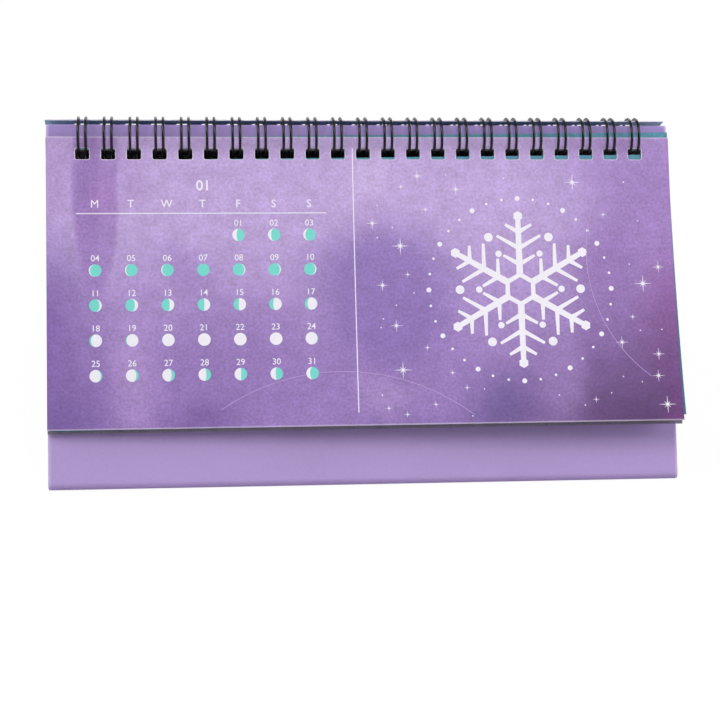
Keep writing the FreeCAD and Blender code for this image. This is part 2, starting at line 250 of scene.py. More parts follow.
@dataclass(frozen=True)
class FilmedWrap:
    """Printed art paper with a matt film, pasted round board: smooth, with a low even sheen.

    The film is paler where it bends over the side edges, partly worn by rubbing and partly a painted
    highlight on the rounding; painted shade darkens it towards the foot and along the ridge under the
    wire.
    """

    name: str = "art_paper_matt_film"
    colour: str = "#B098CE"
    # Paler colour at the side edges: partly worn film, partly a painted highlight on the rounding.
    rubbed_and_lit: str = "#CBB7E3"
    # Painted shade towards the foot, where the wrap turns under.
    foot_shade: str = "#A88FC6"
    half_width: float = 105.0
    rubbed_and_lit_width: float = 1.3
    foot_shade_height: float = 4.5
    # Painted shade along the ridge, under the wire loops and the cover, between the two heights below.
    ridge: str = "#9A83C0"
    ridge_shade_heights: Point = (97.0, 101.5)
    roughness: float = 0.5
    specular: float = 0.45
    cloud_size: float = 30.0
    cloud_contrast: float = 0.035
    fibre_size: float = 0.9
    fibre_contrast: float = 0.03
    fibre_relief: float = 0.008

    def build(self) -> bpy.types.Material:
        """Makes the material.

        Returns:
            The material.
        """
        material, tree, shader = new_material(self.name)
        place = millimetres(tree, Places.OBJECT)
        parts = add(tree, "SeparateXYZ", {0: place})
        # Painted shade over the lowest millimetres of the wrap.
        foot = add(tree, "MapRange", {0: parts.outputs[2], 1: self.foot_shade_height, 2: 0.0, 3: 0.0, 4: 1.0},
                   interpolation_type="SMOOTHSTEP")
        foot_shaded = add(tree, "Mix", {
            MIX_FACTOR: foot.outputs[0], MIX_A: linear(self.colour), MIX_B: linear(self.foot_shade)},
            data_type="RGBA")
        # Painted shade towards the ridge.
        crest = add(tree, "MapRange", {
            0: parts.outputs[2], 1: self.ridge_shade_heights[0], 2: self.ridge_shade_heights[1], 3: 0.0, 4: 1.0},
            interpolation_type="SMOOTHSTEP")
        whole = add(tree, "Mix", {
            MIX_FACTOR: crest.outputs[0], MIX_A: foot_shaded.outputs[MIX_OUT],
            MIX_B: linear(self.ridge)}, data_type="RGBA")
        # Paler side edges: worn film and a painted highlight on the rounding.
        side = add(tree, "Math", {0: parts.outputs[0]}, operation="ABSOLUTE")
        edge = add(tree, "MapRange", {
            0: side.outputs[0], 1: self.half_width - self.rubbed_and_lit_width, 2: self.half_width,
            3: 0.0, 4: 1.0}, interpolation_type="SMOOTHSTEP")
        colour = add(tree, "Mix", {
            MIX_FACTOR: edge.outputs[0], MIX_A: whole.outputs[MIX_OUT],
            MIX_B: linear(self.rubbed_and_lit)}, data_type="RGBA")
        clouds = add(tree, "TexNoise", {"Vector": place, "Scale": 1 / self.cloud_size, "Detail": 3.0})
        fibres = add(tree, "TexNoise", {"Vector": place, "Scale": 1 / self.fibre_size, "Detail": 3.0})
        shade = vary(tree, colour.outputs[MIX_OUT], clouds.outputs["Fac"], self.cloud_contrast)
        shade = vary(tree, shade, fibres.outputs["Fac"], self.fibre_contrast)
        relief = add(tree, "Bump", {"Distance": self.fibre_relief * MM, "Height": fibres.outputs["Fac"]})
        tree.links.new(shade, shader.inputs["Base Color"])
        tree.links.new(relief.outputs[0], shader.inputs["Normal"])
        shader.inputs["Roughness"].default_value = self.roughness
        shader.inputs["Specular IOR Level"].default_value = self.specular
        return material


@dataclass(frozen=True)
class NylonWire:
    """Steel wire dipped in black nylon: a deep black skin with narrow, slightly wavy glints."""

    name: str = "steel_wire_nylon_coated"
    colour: str = "#060509"
    roughness: float = 0.1
    smoother: float = 0.05
    rougher: float = 0.07
    specular: float = 0.3
    refraction: float = 1.53
    ripple_size: float = 0.9
    ripple: float = 0.015

    def build(self) -> bpy.types.Material:
        """Makes the material.

        Returns:
            The material.
        """
        material, tree, shader = new_material(self.name)
        place = millimetres(tree, Places.OBJECT)
        ripple = add(tree, "TexNoise", {"Vector": place, "Scale": 1 / self.ripple_size})
        rough = add(tree, "MapRange", {
            0: ripple.outputs["Fac"], 1: NARROW_LOW, 2: NARROW_HIGH,
            3: self.roughness - self.smoother, 4: self.roughness + self.rougher})
        relief = add(tree, "Bump", {"Distance": self.ripple * MM, "Height": ripple.outputs["Fac"]})
        tree.links.new(rough.outputs[0], shader.inputs["Roughness"])
        tree.links.new(relief.outputs[0], shader.inputs["Normal"])
        shader.inputs["Base Color"].default_value = linear(self.colour)
        shader.inputs["IOR"].default_value = self.refraction
        shader.inputs["Specular IOR Level"].default_value = self.specular
        return material


@dataclass(frozen=True)
class HoleRow:
    """The row of punched holes along a leaf's top edge."""

    count: int = 23
    pitch: float = 25.4 / 3
    width: float = 4.7
    height: float = 3.8
    corner: float = 0.6
    margin: float = 3.85
    leaf_width: float = 210.0
    frayed: float = 0.26
    least_frayed: float = 0.06
    fray_size: float = 0.7
    corner_steps: int = 4

    @property
    def first(self) -> float:
        """Where the first hole's middle is, across."""
        return self.leaf_width / 2 - (self.count - 1) / 2 * self.pitch

    @property
    def middle(self) -> float:
        """Where the holes' middles are, down."""
        return self.margin + self.height / 2

    def outlines(self) -> list[list[Point]]:
        """Draws each hole.

        Returns:
            One closed outline per hole.
        """
        holes = []
        for number in range(self.count):
            middle = self.first + number * self.pitch
            outline = []
            for turn, (side, way) in enumerate(((1, 1), (-1, 1), (-1, -1), (1, -1))):
                centre_x = middle + side * (self.width / 2 - self.corner)
                centre_y = self.middle + way * (self.height / 2 - self.corner)
                for step in range(self.corner_steps + 1):
                    angle = (turn + step / self.corner_steps) * math.pi / 2
                    outline.append((centre_x + self.corner * math.cos(angle),
                                    centre_y + self.corner * math.sin(angle)))
            holes.append(outline)
        return holes

    def holds(self, across: float, down: float, room: float = 0.0) -> bool:
        """Tells whether a point lies in a hole, or close to one.

        Args:
            across: Millimetres from the sheet's left edge.
            down: Millimetres from its top edge.
            room: How close counts.

        Returns:
            True where it does.
        """
        if abs(down - self.middle) > self.height / 2 + room:
            return False
        number = round((across - self.first) / self.pitch)
        if not 0 <= number < self.count:
            return False
        return abs(across - self.first - number * self.pitch) < self.width / 2 + room


PUNCHED = HoleRow()


@dataclass(frozen=True)
class Pool:
    """One soft-edged pool of colour in a watercolour wash.

    Its softness is how wide its edge is, as a share of its size. Its wander is how far the
    bleed moves it, as a share of the wash's own.
    """

    across: float
    down: float
    half_width: float
    half_height: float
    colour: str
    strength: float
    softness: float = 0.75
    wander: float = 1.0


@dataclass(frozen=True)
class Watercolour:
    """A watercolour wash printed all over satin-coated paper.

    The pools bleed into each other with uneven rims, and the wash's paper grain is part
    of the print. The coated paper itself is smooth, with a soft wide sheen.
    """

    name: str
    upper: str
    lower: str
    fade: Point
    pools: tuple[Pool, ...] = ()
    bleed: float = 6.0
    cloud_size: float = 22.0
    cloud_contrast: float = 0.05
    blot_size: float = 5.0
    blot_contrast: float = 0.11
    grain_size: float = 1.0
    grain_contrast: float = 0.26
    grain_relief: float = 0.006
    contrast: float = 1.0
    roughness: float = 0.46
    specular: float = 0.4
    rims: HoleRow | None = None
    # A band along the top and bottom edges paled towards cut-paper white: partly the paper's white edge,
    # partly a painted highlight.
    trimmed_height: float = 0.0
    trim_from: float = 0.6
    trim_to: float = 0.1
    trim_share: float = 0.45

    def build(self) -> bpy.types.Material:
        """Makes the material.

        Returns:
            The material.
        """
        material, tree, shader = new_material(self.name)
        place = millimetres(tree, Places.SHEET)
        wander = add(tree, "TexNoise", {"Vector": place, "Scale": 1 / self.cloud_size, "Detail": 4.0})
        centred = add(tree, "VectorMath", {0: wander.outputs["Color"], 1: (0.5, 0.5, 0.5)},
                      operation="SUBTRACT")
        bled = add(tree, "VectorMath", {
            0: centred.outputs[0], 1: (2 * self.bleed,) * 3, 2: place}, operation="MULTIPLY_ADD")
        colour = self._faded(tree, bled.outputs[0])
        for pool in self.pools:
            bled = add(tree, "VectorMath", {
                0: centred.outputs[0], 1: (2 * self.bleed * pool.wander,) * 3, 2: place},
                operation="MULTIPLY_ADD")
            colour = self._pooled(tree, colour, bled.outputs[0], pool)
        grains = add(tree, "TexNoise", {
            "Vector": place, "Scale": 1 / self.grain_size, "Detail": 4.0, "Roughness": 0.7})
        blots = add(tree, "TexNoise", {"Vector": place, "Scale": 1 / self.blot_size, "Detail": 3.0})
        colour = vary(tree, colour, wander.outputs["Fac"], self.cloud_contrast * self.contrast)
        colour = vary(tree, colour, blots.outputs["Fac"], self.blot_contrast * self.contrast)
        colour = vary(tree, colour, grains.outputs["Fac"], self.grain_contrast * self.contrast)
        # Paler edge band: the white paper edge and a painted highlight along it.
        if self.trimmed_height:
            colour = self._trimmed_and_lit(tree, colour, place)
        if self.rims:
            colour = self._rimmed(tree, colour, place)
        relief = add(tree, "Bump", {"Distance": self.grain_relief * MM, "Height": grains.outputs["Fac"]})
        tree.links.new(colour, shader.inputs["Base Color"])
        tree.links.new(relief.outputs[0], shader.inputs["Normal"])
        shader.inputs["Roughness"].default_value = self.roughness
        shader.inputs["Specular IOR Level"].default_value = self.specular
        return material

    def _faded(self, tree: bpy.types.NodeTree, place: bpy.types.NodeSocket) -> bpy.types.NodeSocket:
        """Fades the upper colour to the lower one between the two heights.

        Args:
            tree: The material's node tree.
            place: The sheet's coordinates.

        Returns:
            The faded colour.
        """
        parts = add(tree, "SeparateXYZ", {0: place})
        share = add(tree, "MapRange", {
            0: parts.outputs[1], 1: self.fade[0], 2: self.fade[1], 3: 0.0, 4: 1.0},
            interpolation_type="SMOOTHSTEP")
        mixed = add(tree, "Mix", {
            MIX_FACTOR: share.outputs[0], MIX_A: linear(self.upper), MIX_B: linear(self.lower)},
            data_type="RGBA")
        return mixed.outputs[MIX_OUT]

    def _pooled(self, tree: bpy.types.NodeTree, colour: bpy.types.NodeSocket,
                place: bpy.types.NodeSocket, pool: Pool) -> bpy.types.NodeSocket:
        """Lays one pool over the wash.

        Args:
            tree: The material's node tree.
            colour: The wash so far.
            place: The sheet's coordinates.
            pool: The pool.

        Returns:
            The wash with the pool in it.
        """
        offset = add(tree, "VectorMath", {0: place, 1: (pool.across, pool.down, 0.0)},
                     operation="SUBTRACT")
        shares = add(tree, "VectorMath", {
            0: offset.outputs[0], 1: (1 / pool.half_width, 1 / pool.half_height, 0.0)},
            operation="MULTIPLY")
        reach = add(tree, "VectorMath", {0: shares.outputs[0]}, operation="LENGTH")
        cover = add(tree, "MapRange", {
            0: reach.outputs["Value"], 1: 1 + pool.softness / 2, 2: 1 - pool.softness,
            3: 0.0, 4: pool.strength}, interpolation_type="SMOOTHSTEP")
        mixed = add(tree, "Mix", {
            MIX_FACTOR: cover.outputs[0], MIX_A: colour, MIX_B: linear(pool.colour)}, data_type="RGBA")
        return mixed.outputs[MIX_OUT]

    def _trimmed_and_lit(self, tree: bpy.types.NodeTree, colour: bpy.types.NodeSocket,
                 place: bpy.types.NodeSocket) -> bpy.types.NodeSocket:
        """Pales the print along the guillotined top and bottom edges: partly the white paper edge, partly
        a painted highlight where the edge curves.

        Args:
            tree: The material's node tree.
            colour: The wash.
            place: The sheet's coordinates.

        Returns:
            The wash with paler edges.
        """
        half = self.trimmed_height / 2
        parts = add(tree, "SeparateXYZ", {0: place})
        from_middle = add(tree, "Math", {0: parts.outputs[1], 1: half}, operation="SUBTRACT")
        reach = add(tree, "Math", {0: from_middle.outputs[0]}, operation="ABSOLUTE")
        share = add(tree, "MapRange", {
            0: reach.outputs[0], 1: half - self.trim_from, 2: half - self.trim_to,
            3: 0.0, 4: self.trim_share})
        mixed = add(tree, "Mix", {
            MIX_FACTOR: share.outputs[0], MIX_A: colour, MIX_B: linear(CUT_PAPER.colour)},
            data_type="RGBA")
        return mixed.outputs[MIX_OUT]

    def _rimmed(self, tree: bpy.types.NodeTree, colour: bpy.types.NodeSocket,
                place: bpy.types.NodeSocket) -> bpy.types.NodeSocket:
        """Shows the paper's white core along each punched hole, where the punch frayed it.

        Args:
            tree: The material's node tree.
            colour: The wash.
            place: The sheet's coordinates.

        Returns:
            The wash with white rims.
        """
        row = self.rims
        parts = add(tree, "SeparateXYZ", {0: place})
        from_left = add(tree, "Math", {0: parts.outputs[0], 1: row.first}, operation="SUBTRACT")
        pitches = add(tree, "Math", {0: from_left.outputs[0], 1: row.pitch}, operation="DIVIDE")
        nearest = add(tree, "Math", {0: pitches.outputs[0]}, operation="ROUND")
        number = add(tree, "Clamp", {0: nearest.outputs[0], 1: 0.0, 2: row.count - 1.0})
        from_hole = add(tree, "Math", {0: number.outputs[0], 1: -row.pitch, 2: from_left.outputs[0]},
                        operation="MULTIPLY_ADD")
        from_middle = add(tree, "Math", {0: parts.outputs[1], 1: row.middle}, operation="SUBTRACT")
        outside = []
        for value, half in ((from_hole, row.width / 2), (from_middle, row.height / 2)):
            size = add(tree, "Math", {0: value.outputs[0]}, operation="ABSOLUTE")
            past = add(tree, "Math", {0: size.outputs[0], 1: half - row.corner}, operation="SUBTRACT")
            outside.append(add(tree, "Math", {0: past.outputs[0], 1: 0.0}, operation="MAXIMUM"))
        corner = add(tree, "CombineXYZ", {0: outside[0].outputs[0], 1: outside[1].outputs[0]})
        reach = add(tree, "VectorMath", {0: corner.outputs[0]}, operation="LENGTH")
        frayed = add(tree, "TexNoise", {"Vector": place, "Scale": 1 / row.fray_size, "Detail": 3.0})
        width = add(tree, "MapRange", {
            0: frayed.outputs["Fac"], 1: NARROW_LOW, 2: NARROW_HIGH,
            3: row.least_frayed, 4: row.frayed})
        limit = add(tree, "Math", {0: width.outputs[0], 1: row.corner}, operation="ADD")
        rim = add(tree, "Math", {0: reach.outputs["Value"], 1: limit.outputs[0]}, operation="LESS_THAN")
        mixed = add(tree, "Mix", {
            MIX_FACTOR: rim.outputs[0], MIX_A: colour, MIX_B: linear(CUT_PAPER.colour)},
            data_type="RGBA")
        return mixed.outputs[MIX_OUT]


# Lavender to violet wash on the leaf of the month: pale along the top, a darker brush
# stroke down its left part, and plum that gathers in the lower right corner.
VIOLET_WASH = Watercolour(
    name="satin_paper_violet_wash", upper="#BBA2D5", lower="#9677B8", fade=(20.0, 84.0),
    rims=PUNCHED, trimmed_height=97.0,
    pools=(
        Pool(-4, 66, 20, 34, "#8061A6", 0.9),
        Pool(2, 13, 14, 18, "#AA8DC4", 0.6),
        Pool(27, 12, 7, 12, "#A684C0", 0.4),
        Pool(15.9, 10, 7.8, 46, "#9A78BA", 0.75, 0.16, 0.3),
        Pool(13.5, 18, 4.5, 24, "#8A68AA", 0.5, 0.5, 0.6),
        Pool(18.5, 20, 5.5, 9, "#A272B6", 0.4, 0.8),
        Pool(28, 82, 9, 24, "#AE90C8", 0.6, 0.7),
        Pool(46, 46, 10, 10, "#9577B8", 0.45),
        Pool(88, 46, 8, 10, "#9A7EBC", 0.4),
        Pool(62, 76, 24, 27, "#8A6AAC", 0.27, 0.2, 0.7),
        Pool(107, 12, 8, 10, "#CDB8E2", 0.45),
        Pool(112, 54, 25, 27, "#8569AE", 0.8, 0.5),
        Pool(204, 30, 40, 46, "#9B7ABA", 0.9),
        Pool(186, 56, 14, 34, "#8A68A8", 0.6),
        Pool(210, 66, 15, 28, "#854D92", 0.75),
        Pool(120, 100, 26, 10, "#8469A8", 0.7),
        Pool(110, 86, 10, 8, "#AC92C4", 0.4),
        Pool(149, 95, 14, 18, "#64508F", 0.8),
        Pool(2, 101, 24, 22, "#72569A", 0.8),
        Pool(50, 100, 16, 12, "#7A5A9E", 0.8),
        Pool(198, 101, 44, 37, "#4F2B62", 0.97, 0.9),
        Pool(213, 99, 12, 16, "#70307A", 0.55),
        Pool(170, 78, 9, 20, "#A081BE", 0.5),
        Pool(163, 24, 26, 16, "#BDA5D8", 0.6),
    ))
# The same wash on the leaves under it and on the backs, where nothing else is printed.
PLAIN_WASH = Watercolour(
    name="satin_paper_lavender_wash", upper="#B49CCF", lower="#8F73B0", fade=(10.0, 90.0))
# The next month's wash, in sea green.
TEAL_WASH = Watercolour(
    name="satin_paper_teal_wash", upper="#528CA2", lower="#3F7C90", fade=(0.0, 80.0), contrast=1.4,
    pools=(Pool(60, 40, 60, 30, "#2F6E80", 0.6), Pool(190, 90, 40, 30, "#3A5F78", 0.6)))
# The slate wash of the month after, which shows only along the heap's margins.
SLATE_WASH = Watercolour(
    name="satin_paper_slate_wash", upper="#9A90AA", lower="#8E8498", fade=(0.0, 90.0))
# Pale slate blue on the inside of the cover's card.
INNER_WASH = Watercolour(
    name="satin_card_slate_blue_wash", upper="#9CC6D8", lower="#94BCCE", fade=(0.0, 90.0))
# Dark petrol wash on the card of the cover, glossier than the leaves.
PETROL_WASH = Watercolour(
    name="satin_card_petrol_wash", upper="#5A768C", lower="#3F5670", fade=(0.0, 90.0), contrast=1.2,
    roughness=0.4, pools=(Pool(100, 50, 80, 30, "#3F3C66", 0.6), Pool(200, 90, 50, 30, "#2E6472", 0.5)))


# ---- flat shapes ---------------------------------------------------------------------


@dataclass
class Flat:
    """A filled shape: points in a sheet's own coordinates, and the triangles between them."""

    points: list[Point]
    triangles: list[tuple[int, int, int]]

    @classmethod
    def filled(cls, outlines: list[list[Point]], holes: HoleRow | None = None,
               spare: list[Point] | None = None) -> "Flat":
        """Fills closed outlines, joined where they overlap.

        Args:
            outlines: The closed outlines. A sheet gives its own outline first, then its holes.
            holes: The row of holes to leave open, if there is one.
            spare: More points to use inside, so that the shape can bend.

        Returns:
            The filled shape.
        """
        points, faces = [], []
        for outline in outlines:
            turn = sum(a[0] * b[1] - b[0] * a[1] for a, b in zip(outline, outline[1:] + outline[:1]))
            faces.append(list(range(len(points), len(points) + len(outline))))
            points += outline if turn > 0 else outline[::-1]
        points += spare or []
        places, _, parts, _, _, sources = delaunay_2d_cdt(
            [Vector(p) for p in points], [], faces, TRIANGLES_INSIDE, MERGE_DISTANCE)
        corners = [(v.x, v.y) for v in places]
        triangles = []
        for face, origins in zip(parts, sources):
            across = sum(corners[i][0] for i in face) / 3
            down = sum(corners[i][1] for i in face) / 3
            if origins and (holes is None or not holes.holds(across, down)):
                triangles.append(tuple(face))
        return cls(corners, triangles)


def polygon(across: float, down: float, radius: float, sides: int, start: float = 0.0) -> list[Point]:
    """Draws a regular outline round a point.

    Args:
        across: Its middle, across.
        down: Its middle, down.
        radius: Its corners' distance from the middle.
        sides: How many corners it has.
        start: The first corner's angle in radians.

    Returns:
        The outline.
    """
    steps = [start + 2 * math.pi * i / sides for i in range(sides)]
    return [(across + radius * math.cos(a), down + radius * math.sin(a)) for a in steps]


def band(start: Point, end: Point, width: float, step: float = 3.0, taper: float = 1.0) -> list[Point]:
    """Draws a straight strip with enough points along it to bend with the sheet.

    Args:
        start: The middle of its first end.
        end: The middle of its other end.
        width: Its width at the start.
        step: The longest stretch between points.
        taper: Its width at the end, as a share of the width at the start.

    Returns:
        The outline.
    """
    run = Vector(end) - Vector(start)
    side = Vector((-run.y, run.x)).normalized() * width / 2
    count = max(1, math.ceil(run.length / step))
    there, back = [], []
    for i in range(count + 1):
        share = i / count
        middle = Vector(start) + run * share
        reach = side * (1 + (taper - 1) * share)
        there.append(tuple(middle + reach))
        back.append(tuple(middle - reach))
    return there + back[::-1]


# ---- sheets --------------------------------------------------------------------------


class Side(Enum):
    """Which of a thin piece's two faces is meant, by the way its plane faces."""

    OUTER = 1
    INNER = -1


@dataclass
class LeaningPlane:
    """The direction of a panel of the stand: out of it and up it.

    A face faces a way where its normal has more than facing_share of it. Where a corner is
    looked up, face_weight is how much a thin piece's thickness counts beside its outline.
    """

    outward: Vector
    upward: Vector
    facing_share: ClassVar[float] = 0.5
    face_weight: ClassVar[float] = 0.02

    @classmethod
    def of(cls, node: str, facing: float) -> "LeaningPlane":
        """Reads the plane from a construction piece's largest face.

        Args:
            node: The piece's name.
            facing: -1 for a face towards the front, or 1 for one towards the back.

        Returns:
            The plane.
        """
        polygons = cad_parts[node].data.polygons
        faces = [p for p in polygons if p.normal.y * facing > cls.facing_share]
        largest = max(faces, key=lambda p: p.area)
        outward = largest.normal.copy()
        outward.x = 0.0
        outward.normalize()
        return cls(outward, Vector((1, 0, 0)).cross(outward) * facing)

    @classmethod
    def leaning(cls, degrees: float, facing: float) -> "LeaningPlane":
        """Makes the plane that leans by an angle from upright.

        Args:
            degrees: The angle.
            facing: -1 for a face towards the front, or 1 for one towards the back.

        Returns:
            The plane.
        """
        lean = math.radians(degrees)
        outward = Vector((0, facing * math.cos(lean), math.sin(lean)))
        return cls(outward, Vector((1, 0, 0)).cross(outward) * facing)

    def corner(self, node: str, right: int, up: int, side: Side) -> Vector:
        """Finds a corner of a thin piece.

        Args:
            node: The piece's name.
            right: 1 for its right edge, towards +X, or -1 for its left edge.
            up: 1 for its top edge, or -1 for its lower edge.
            side: Which of its faces.

        Returns:
            The corner in metres.
        """
        way = Vector((right, 0, 0)) + self.upward * up + self.outward * (self.face_weight * side.value)
        return max((v.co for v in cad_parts[node].data.vertices), key=way.dot).copy()


@dataclass
class Sheet:
    """A thin leaf on the outline of a construction piece, hollowed towards its lower edge."""

    node: str
    plane: LeaningPlane
    face: bpy.types.Material
    back: bpy.types.Material
    edge: bpy.types.Material
    thickness: float
    width: float = 210.0
    height: float = 97.0
    step: float = 4.0
    hole_room: float = 0.8
    depth_share: float = 0.0

    def __post_init__(self) -> None:
        """Reads the corners and the hollow of its face from the construction piece."""
        corners = {}
        for right in (-1, 1):
            for up in (1, -1):
                outer = self.plane.corner(self.node, right, up, Side.OUTER)
                inner = self.plane.corner(self.node, right, up, Side.INNER)
                corners[right, up] = outer.lerp(inner, self.depth_share)
        self.corners = corners
        self.hollow = [
            self.plane.outward.dot(corners[right, -1] - corners[right, 1]) for right in (-1, 1)]

    def point(self, across: float, down: float, lift: float = 0.0) -> Vector:
        """Finds a place on the sheet or above its face.

        Args:
            across: Millimetres from the left edge.
            down: Millimetres from the top edge.
            lift: Millimetres out of the face.

        Returns:
            The place in metres.
        """
        a, b = across / self.width, down / self.height
        top = self.corners[-1, 1].lerp(self.corners[1, 1], a)
        low = self.corners[-1, -1].lerp(self.corners[1, -1], a)
        sag = (self.hollow[0] + (self.hollow[1] - self.hollow[0]) * a) * (b - b * b)
        return top.lerp(low, b) + self.plane.outward * (lift * MM - sag)

    def lattice(self, holes: HoleRow) -> list[Point]:
        """Spaces points over the sheet and along its edges, clear of its holes.

        Args:
            holes: The holes to keep clear of.

        Returns:
            The points.
        """
        columns = round(self.width / self.step)
        rows = round(self.height / self.step)
        points = []
        for i in range(columns + 1):
            for j in range(rows + 1):
                across, down = i * self.width / columns, j * self.height / rows
                if not holes.holds(across, down, room=self.hole_room):
                    points.append((across, down))
        return points

    def shell(self, mesh: bmesh.types.BMesh, flat: Flat, low: float, high: float,
              slots: tuple[int, int, int]) -> None:
        """Adds a thin closed solid between two lifts.

        Args:
            mesh: The mesh that it is added to.
            flat: Its shape on the sheet.
            low: The lift of its back.
            high: The lift of its face.
            slots: The material slots of its face, its back and its edges.
        """
        coordinates = mesh.loops.layers.uv.verify()
        uses: dict[tuple[int, int], int] = {}
        for triangle in flat.triangles:
            for i in range(3):
                edge = (triangle[i], triangle[(i + 1) % 3])
                uses[edge] = uses.get(edge, 0) + 1
        upper = [mesh.verts.new(self.point(*p, high)) for p in flat.points]
        lower = [mesh.verts.new(self.point(*p, low)) for p in flat.points]
        made = []
        for triangle in flat.triangles:
            corners = [upper[i] for i in triangle]
            made.append((mesh.faces.new(corners), slots[0], triangle, True))
            made.append((mesh.faces.new([lower[i] for i in triangle[::-1]]), slots[1],
                         triangle[::-1], True))
        for first, second in uses:
            if (second, first) not in uses:
                wall = mesh.faces.new([upper[second], upper[first], lower[first], lower[second]])
                made.append((wall, slots[2], (second, first, first, second), False))
                for rim in wall.edges:
                    rim.smooth = False
        for face, slot, numbers, smooth in made:
            face.material_index = slot
            face.smooth = smooth
            for loop, number in zip(face.loops, numbers):
                loop[coordinates].uv = flat.points[number]
        for vertex in upper + lower:
            if not vertex.link_faces:
                mesh.verts.remove(vertex)

    @property
    def finishes(self) -> list[bpy.types.Material]:
        """The materials of its face, its back and its edges."""
        return [self.face, self.back, self.edge]

    def outline(self) -> list[Point]:
        """The sheet's own outline."""
        return [(0.0, 0.0), (self.width, 0.0), (self.width, self.height), (0.0, self.height)]

    def flat(self, holes: HoleRow) -> Flat:
        """The punched sheet laid flat."""
        return Flat.filled([self.outline()] + holes.outlines(), holes, self.lattice(holes))


@dataclass
class CurledSheet(Sheet):
    """A sheet that is flat along its top edge and curls down from there in a round bow."""

    straight: float = 8.0

    def __post_init__(self) -> None:
        """Reads the curl from the construction piece's corners."""
        super().__post_init__()
        self.down_way = -self.plane.upward
        chord = self.corners[-1, -1] - self.corners[-1, 1] - self.down_way * (self.straight * MM)
        self.turn = 2 * self.down_way.angle(chord)
        self.radius = chord.length / 2 / math.sin(self.turn / 2)

    def point(self, across: float, down: float, lift: float = 0.0) -> Vector:
        """Finds a place on the sheet or above its face.

        Args:
            across: Millimetres from the left edge.
            down: Millimetres from the top edge, along the sheet.
            lift: Millimetres out of the face.

        Returns:
            The place in metres.
        """
        top = self.corners[-1, 1].lerp(self.corners[1, 1], across / self.width)
        curled = max(0.0, down - self.straight) / (self.height - self.straight)
        angle = self.turn * curled
        out = self.plane.outward
        place = top + self.down_way * (min(down, self.straight) * MM + self.radius * math.sin(angle))
        place -= out * (self.radius * (1 - math.cos(angle)))
        return place + (out * math.cos(angle) + self.down_way * math.sin(angle)) * (lift * MM)


def finish_mesh(name: str, mesh: bmesh.types.BMesh, materials: list[bpy.types.Material],
                body: str) -> bpy.types.Object:
    """Turns a mesh in the making to a piece that moves with a body.

    Args:
        name: The piece's name.
        mesh: The mesh, which is freed.
        materials: Its materials in the order of its slots.
        body: The body that it rides on.

    Returns:
        The piece.
    """
    bmesh.ops.recalc_face_normals(mesh, faces=mesh.faces)
    data = bpy.data.meshes.new(name)
    mesh.to_mesh(data)
    mesh.free()
    if data.uv_layers:
        data.uv_layers[0].name = SHEET_MAP
    for material in materials:
        data.materials.append(material)
    piece = bpy.data.objects.new(name, data)
    bpy.context.scene.collection.objects.link(piece)
    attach(piece, body)
    LOG.info("%s: %d faces, on %s", name, len(data.polygons), body)
    return piece


@dataclass
class Leaves:
    """Everything that hangs on the wire: the heap, the next leaf, the leaf on show and the cover.

    The heap's holes are a little taller than the construction piece's, so that its leaves
    swing clear of the wire.
    """

    plane: LeaningPlane
    materials: dict[str, bpy.types.Material]
    paper: float = 0.22
    heap_paper: float = 0.11
    heap_sheets: int = 8
    heap_step: float = 8.0
    card: float = 0.35
    cover_lean: float = 55.0
    holes: HoleRow = field(default_factory=HoleRow)
    heap_holes: HoleRow = field(default_factory=lambda: HoleRow(margin=3.7, height=3.95))

    def single(self, name: str, sheet: Sheet, body: str) -> None:
        """Builds one punched sheet in place of its construction piece.

        Args:
            name: The piece's name.
            sheet: The sheet.
            body: The body that it rides on.
        """
        mesh = bmesh.new()
        sheet.shell(mesh, sheet.flat(self.holes), -sheet.thickness, 0.0, (0, 1, 2))
        piece = finish_mesh(name, mesh, sheet.finishes, body)
        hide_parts(sheet.node)

    def show_leaf(self) -> Sheet:
        """Builds the leaf on show.

        Returns:
            Its sheet, for what is printed on it.
        """
        sheet = Sheet("front_leaf", self.plane, self.materials["violet"], self.materials["plain"],
                      self.materials["cut"], self.paper)
        self.single("month_leaf", sheet, "front_leaf")
        return sheet

    def next_leaf(self) -> None:
        """Builds the teal leaf that has slipped round behind it."""
        sheet = Sheet("second_leaf", self.plane, self.materials["teal"], self.materials["teal"],
                      self.materials["cut"], self.paper)
        self.single("next_month_leaf", sheet, "leaf_stack")

    def heap(self) -> None:
        """Builds the leaves still to come, sheet by sheet."""
        mesh = bmesh.new()
        for number in range(self.heap_sheets):
            share = number / (self.heap_sheets - 1)
            sheet = Sheet("leaf_block", self.plane, self.materials["slate"], self.materials["plain"],
                          self.materials["heap"], self.heap_paper, step=self.heap_step,
                          depth_share=share)
            low, high = -self.heap_paper * (1 - share), self.heap_paper * share
            sheet.shell(mesh, sheet.flat(self.heap_holes), low, high, (0, 1, 2))
        piece = finish_mesh("later_leaves", mesh, sheet.finishes, "leaf_stack")
        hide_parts("leaf_block")

    def cover(self) -> None:
        """Builds the cover, which hangs behind and shows its printed face there."""
        plane = LeaningPlane.leaning(self.cover_lean, 1)
        sheet = CurledSheet("turned_cover", plane, self.materials["petrol"], self.materials["inner"],
                            self.materials["cut"], self.card)
        self.single("cover_card", sheet, "turned_cover")


# ---- print on the front leaf ---------------------------------------------------------


@dataclass(frozen=True)
class Lettering:
    """How large type is set, and how much bolder its strokes are."""

    size: float
    weight: float


